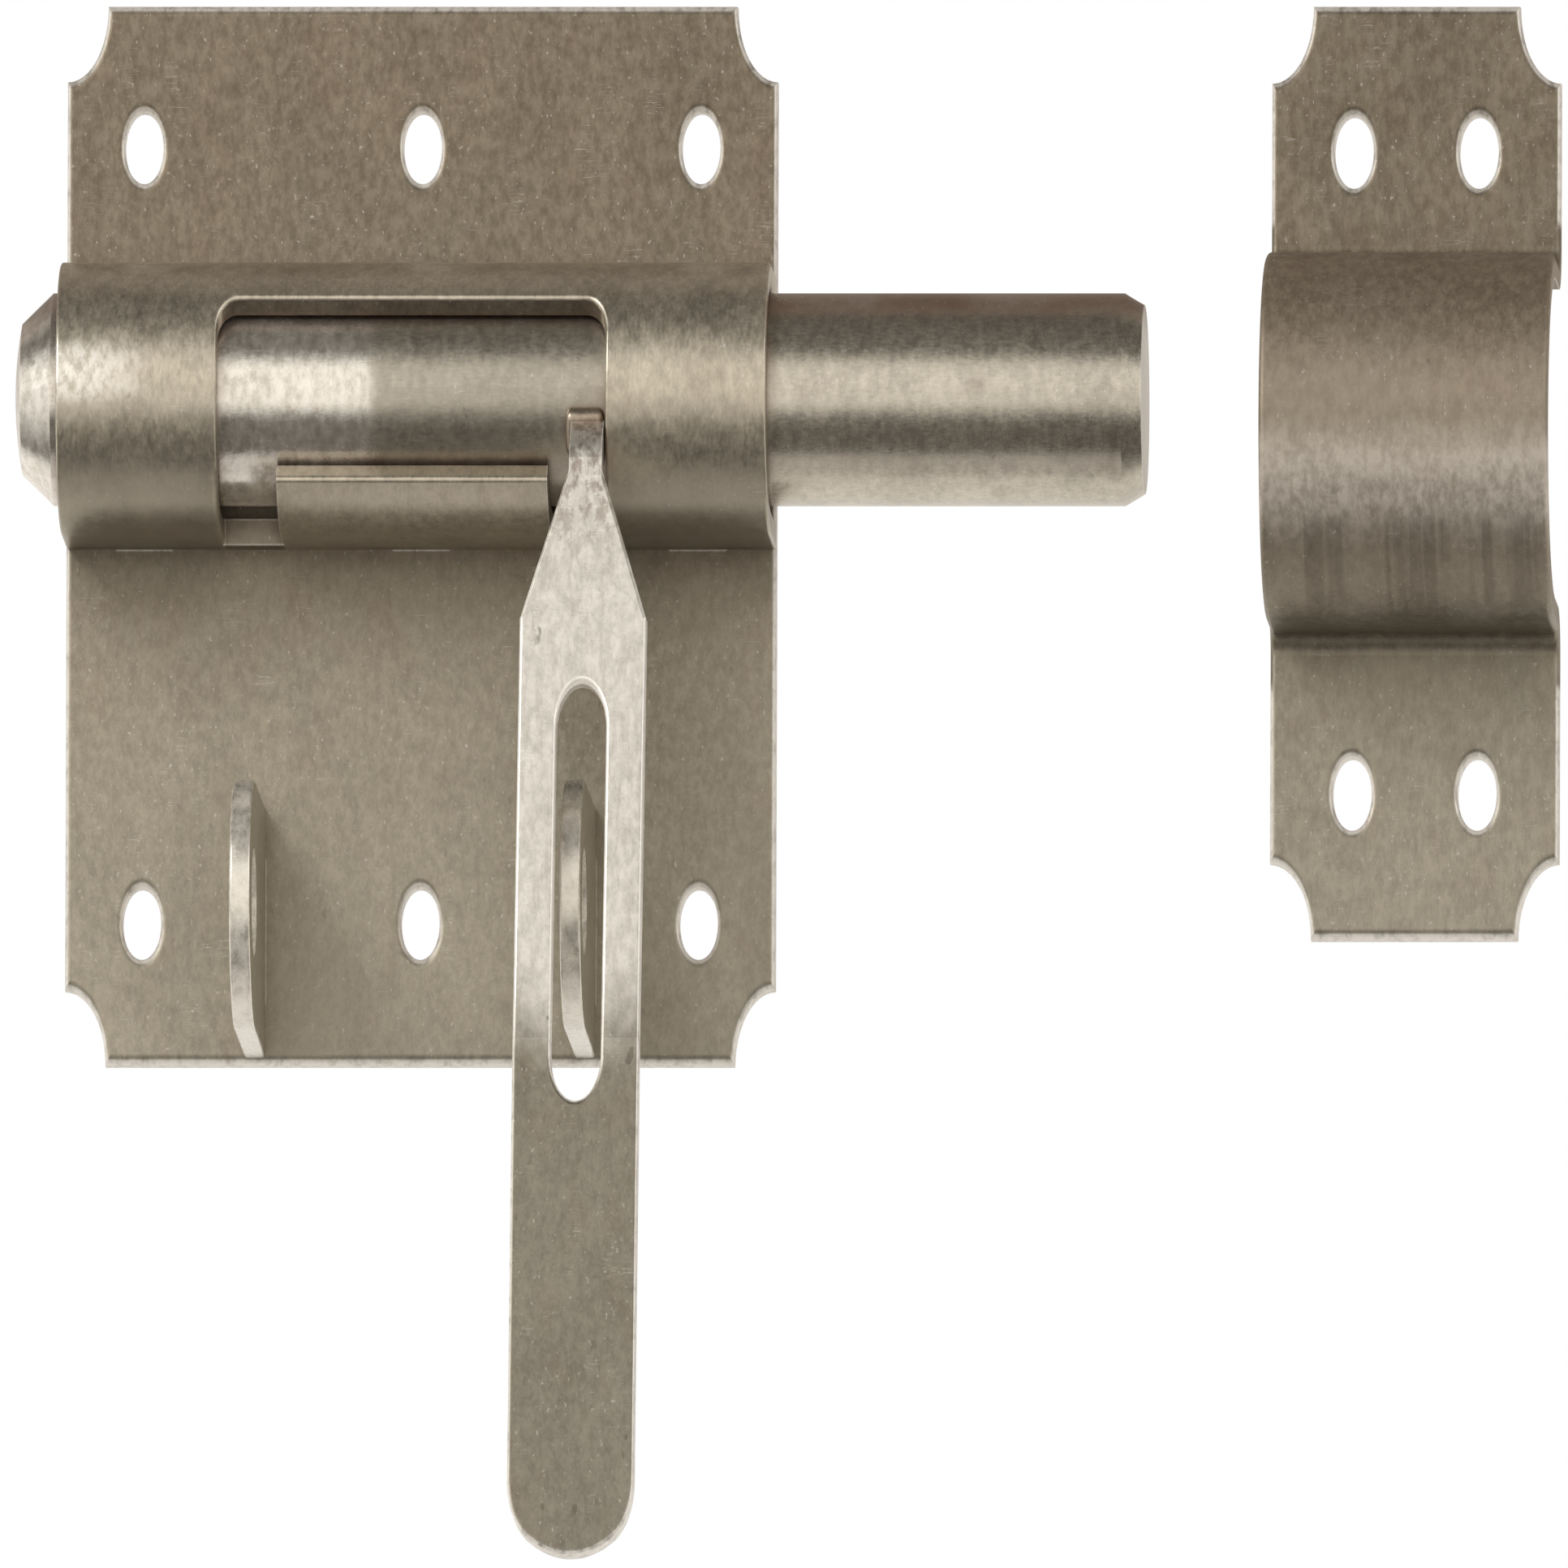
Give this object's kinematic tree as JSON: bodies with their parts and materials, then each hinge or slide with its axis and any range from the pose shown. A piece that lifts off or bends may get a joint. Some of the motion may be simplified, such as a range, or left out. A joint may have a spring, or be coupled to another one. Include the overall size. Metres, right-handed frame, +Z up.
{
  "type": "stair gate latch",
  "caption": "Lockable barrel bolt on a screw plate, with a drop-down slotted handle, two padlock lugs and a loose keeper.",
  "frame": {"origin": "centre of the six screw holes, on the back face of the base plate", "axes": "+X along the bolt towards the keeper, -Y out from the gate towards the user, +Z up"},
  "size_m": [0.2167, 0.0429, 0.1221],
  "materials": {
    "plate_steel": "tumbled, lightly brushed",
    "strap_steel": "tumbled, lightly brushed",
    "lug_steel": "tumbled",
    "bolt_steel": "drawn bar, rubbed bright",
    "handle_steel": "tumbled, worn bright at the edges",
    "weld_steel": "weld bead with heat tint",
    "keeper_steel": "tumbled, lightly brushed"
  },
  "bodies": {
    "latch_plate": {"base_plate": "plate_steel", "bolt_strap": "strap_steel", "padlock_lug_left": "lug_steel", "padlock_lug_right": "lug_steel"},
    "bolt": {"bolt_rod": "bolt_steel"},
    "handle": {"handle_lever": "handle_steel", "neck_weld": "weld_steel"},
    "keeper": {"keeper_strap": "keeper_steel"}
  },
  "joints": [
    {"name": "bolt_slide", "type": "slide", "parent": "latch_plate", "child": "bolt", "axis": [1, 0, 0], "range_m": [-0.0484, 0]},
    {"name": "handle_turn", "type": "hinge", "parent": "bolt", "child": "handle", "pos_m": [0, -0.0103, 0.0092], "axis": [-1, 0, 0], "range_deg": [-22, 43]},
    {"name": "keeper_shift", "type": "slide", "parent": "latch_plate", "child": "keeper", "axis": [1, 0, 0], "range_m": [-0.062, 0]}
  ]
}
